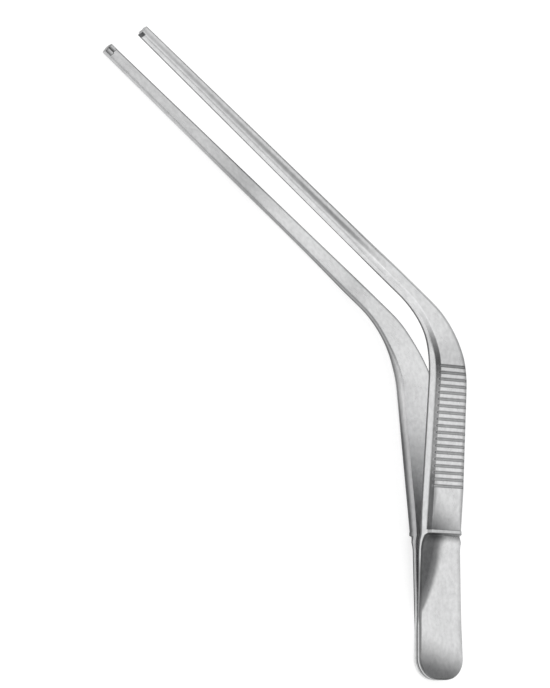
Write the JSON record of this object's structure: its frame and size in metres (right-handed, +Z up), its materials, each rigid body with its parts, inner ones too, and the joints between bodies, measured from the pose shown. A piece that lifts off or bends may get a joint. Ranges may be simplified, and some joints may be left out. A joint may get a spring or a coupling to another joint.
{
  "type": "ear dressing forceps",
  "caption": "Angled ear dressing forceps: sprung steel arms joined at the rear, ribbed grips, a sharp bend and long slender shafts ending in fine teeth, for placing dressings in a narrow canal.",
  "frame": {"origin": "centre of the bounding box at table level, with the forceps lying on its lower arm", "axes": "+Z up from the table, +Y along the handle from the welded rear end towards the bend, +X to the right of the handle seen from above, away from the shafts"},
  "size_m": [0.0832, 0.1312, 0.0194],
  "materials": {
    "steel": "satin"
  },
  "bodies": {
    "lower": {"lower_arm": "steel"},
    "upper": {"upper_arm": "steel"}
  },
  "joints": [
    {"name": "leaf_flex", "type": "hinge", "parent": "lower", "child": "upper", "pos_m": [0.03551, -0.04466, 0.00398], "axis": [-0.9947, 0.006, -0.103], "range_deg": [0, 6.75], "stiffness_Nm_per_rad": 1.5}
  ]
}
